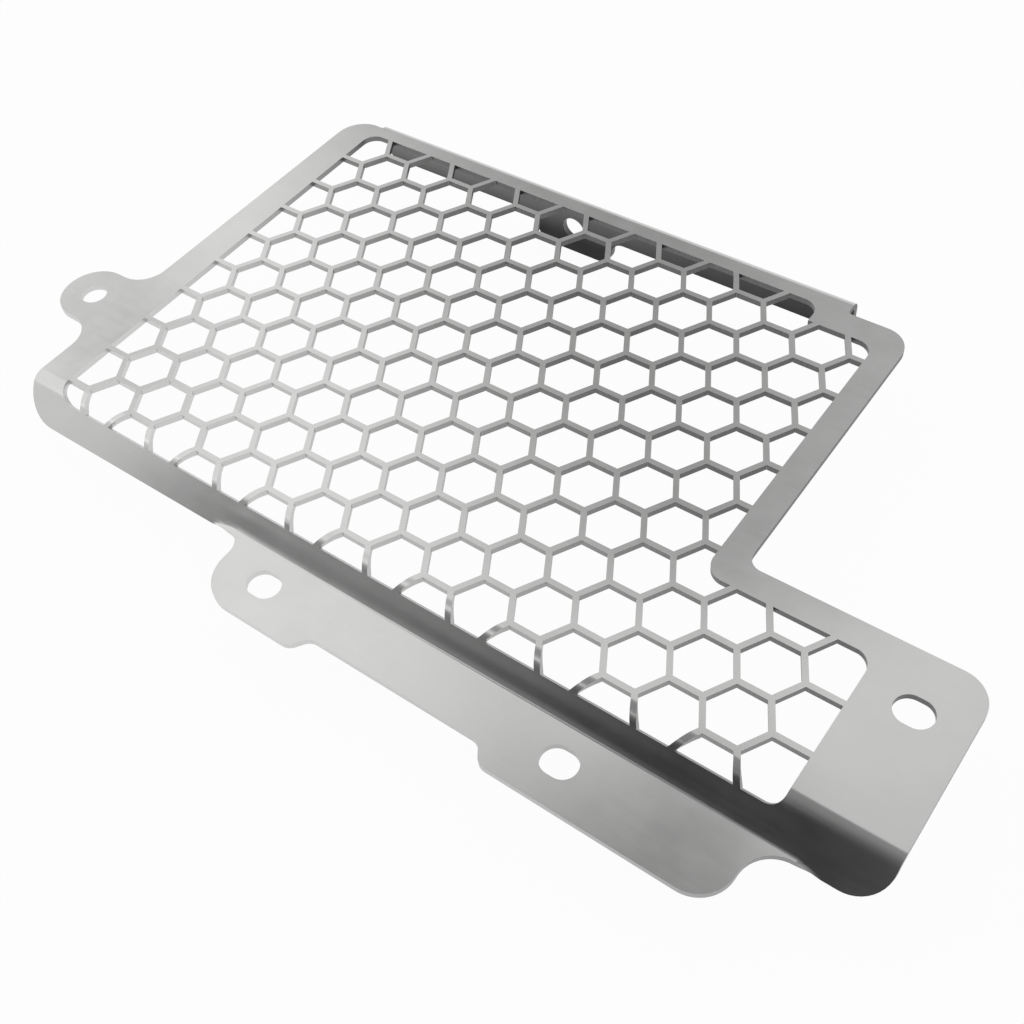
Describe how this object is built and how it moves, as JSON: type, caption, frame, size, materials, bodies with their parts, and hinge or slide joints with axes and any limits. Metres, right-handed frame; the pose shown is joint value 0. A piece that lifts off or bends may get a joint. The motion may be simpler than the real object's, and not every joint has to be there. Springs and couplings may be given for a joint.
{
  "type": "motorcycle radiator guard",
  "caption": "Folded stainless sheet with a honeycomb grille, a stepped front flange and a hanging back flange, bolted over a motorcycle radiator to keep stones off its core.",
  "frame": {"origin": "middle of the bounding box in X and Y, at the lowest edge, which is the lower edge of the back tab", "axes": "+X along the guard from the ear with the round hole to the plate with the slot, +Y from the front flange to the back flange, +Z out of the panel's outer face"},
  "size_m": [0.2395, 0.144, 0.018],
  "materials": {
    "stainless_sheet": "satin mill finish, laser-cut and deburred edges"
  },
  "bodies": {
    "root": {"guard_sheet": "stainless_sheet"}
  },
  "joints": []
}
